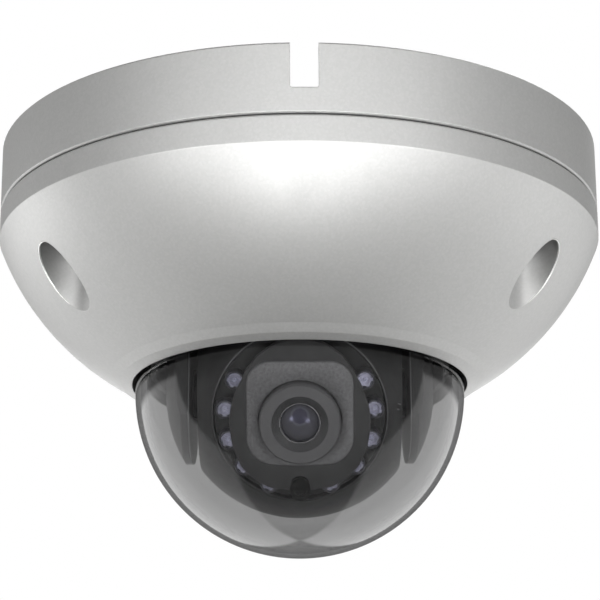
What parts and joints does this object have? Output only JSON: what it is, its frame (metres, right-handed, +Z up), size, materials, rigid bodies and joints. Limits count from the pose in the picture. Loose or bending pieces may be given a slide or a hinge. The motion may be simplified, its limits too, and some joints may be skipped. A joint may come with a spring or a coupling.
{
  "type": "dome cctv camera",
  "caption": "Small ceiling dome camera: round die-cast base and cover, smoked bubble, and a black ball with lens and infrared lights that pans, tilts and rotates inside.",
  "frame": {"origin": "centre of the ceiling face, on the axis of the round body; the camera hangs below it", "axes": "+Z up into the ceiling, -Y the front, where the lens looks"},
  "size_m": [0.11, 0.11, 0.0745],
  "materials": {
    "cast_aluminium_base": "satin silver-grey powder coat",
    "cast_aluminium_cover": "satin silver-grey powder coat",
    "smoked_polycarbonate": "clear gloss, smoked",
    "stainless_screw": "passivated stainless",
    "zinc_screw": "zinc plated",
    "plated_brass": "nickel plated",
    "silicone_seal": "matt black",
    "clamp_steel": "zinc plated sheet",
    "black_moulding": "moulded, fine spark texture",
    "ball_plastic": "moulded satin black",
    "board_laminate": "green solder mask",
    "light_board_laminate": "black solder mask",
    "chip_package": "epoxy package",
    "thermal_pad": "soft grey-blue silicone",
    "capacitor_can": "bare can",
    "socket_nylon": "natural nylon",
    "card_shell_steel": "tinned sheet",
    "memory_card_plastic": "black plastic",
    "reset_button": "off-white",
    "flat_cable": "off-white polyester",
    "light_epoxy": "clear epoxy",
    "sensor_sleeve": "matt black",
    "isolation_rubber": "matt",
    "face_plastic": "moulded, coarse texture",
    "lens_metal": "black anodised",
    "lens_glass": "coated",
    "holder_plastic": "moulded black",
    "filter_glass": "coated",
    "sensor_silicon": "glass-covered chip"
  },
  "bodies": {
    "base": {"mounting_base": "cast_aluminium_base", "cover_seal": "silicone_seal", "front_cover": "cast_aluminium_cover", "cover_screws": "stainless_screw", "cover_screw_washers": "zinc_screw", "bubble": "smoked_polycarbonate", "bubble_gasket": "silicone_seal", "bubble_clamp_ring": "clamp_steel", "inner_liner": "black_moulding", "clamp_ring_screws": "zinc_screw", "cable_gland": "silicone_seal", "gland_plate": "clamp_steel", "gland_plate_screws": "zinc_screw", "main_board": "board_laminate", "board_screws": "zinc_screw", "processor": "chip_package", "thermal_pad": "thermal_pad", "memory_chips": "chip_package", "capacitors": "capacitor_can", "network_transformer": "chip_package", "cable_sockets": "socket_nylon", "card_socket": "card_shell_steel", "reset_switch": "chip_package", "pan_bracket": "black_moulding", "bracket_posts": "plated_brass", "bracket_screws": "zinc_screw", "sensor_cable": "flat_cable"},
    "yoke": {"yoke": "black_moulding", "pan_washer": "clamp_steel", "pan_retaining_ring": "black_moulding", "pan_ring_screws": "zinc_screw"},
    "ball": {"ball_front_shell": "ball_plastic", "ball_rear_shell": "ball_plastic", "ball_screws": "zinc_screw", "tilt_screws": "zinc_screw", "tilt_washers": "clamp_steel", "head_retaining_ring": "black_moulding", "head_ring_screws": "zinc_screw"},
    "head": {"head_body": "black_moulding", "light_board": "light_board_laminate", "infrared_lights": "light_epoxy", "light_sensor": "sensor_sleeve", "isolation_ring": "isolation_rubber", "lens_face": "face_plastic", "lens_barrel": "lens_metal", "lens_elements": "lens_glass", "lens_spacer": "lens_metal", "lens_retaining_ring": "lens_metal", "lens_holder": "holder_plastic", "holder_screws": "zinc_screw", "filter_tray": "holder_plastic", "filter_coil": "chip_package", "sensor_board": "board_laminate", "tray_screws": "zinc_screw", "image_sensor": "sensor_silicon", "sensor_socket": "socket_nylon"},
    "filter": {"filter_carriage": "holder_plastic", "filter_panes": "filter_glass"},
    "card": {"memory_card": "memory_card_plastic"},
    "button": {"reset_button": "reset_button"}
  },
  "joints": [
    {"name": "pan", "type": "hinge", "parent": "base", "child": "yoke", "pos_m": [0, 0, -0.0261], "axis": [0, 0, 1], "range_deg": [-30, 30]},
    {"name": "tilt", "type": "hinge", "parent": "yoke", "child": "ball", "pos_m": [0, 0, -0.04474], "axis": [1, 0, 0], "range_deg": [-13, 62], "deforming": ["sensor_cable"]},
    {"name": "rotation", "type": "hinge", "parent": "ball", "child": "head", "pos_m": [0, 0, -0.04474], "axis": [0, -0.8829, -0.4695], "range_deg": [-177, 177]},
    {"name": "filter_shift", "type": "slide", "parent": "head", "child": "filter", "axis": [-1, 0, 0], "range_m": [0, 0.0064]},
    {"name": "card_slide", "type": "slide", "parent": "base", "child": "card", "axis": [-1, 0, 0], "range_m": [0, 0.012]},
    {"name": "reset_press", "type": "slide", "parent": "base", "child": "button", "axis": [0, 0, 1], "range_m": [0, 0.00025], "stiffness_N_per_m": 2000, "springref_m": -0.0002}
  ]
}
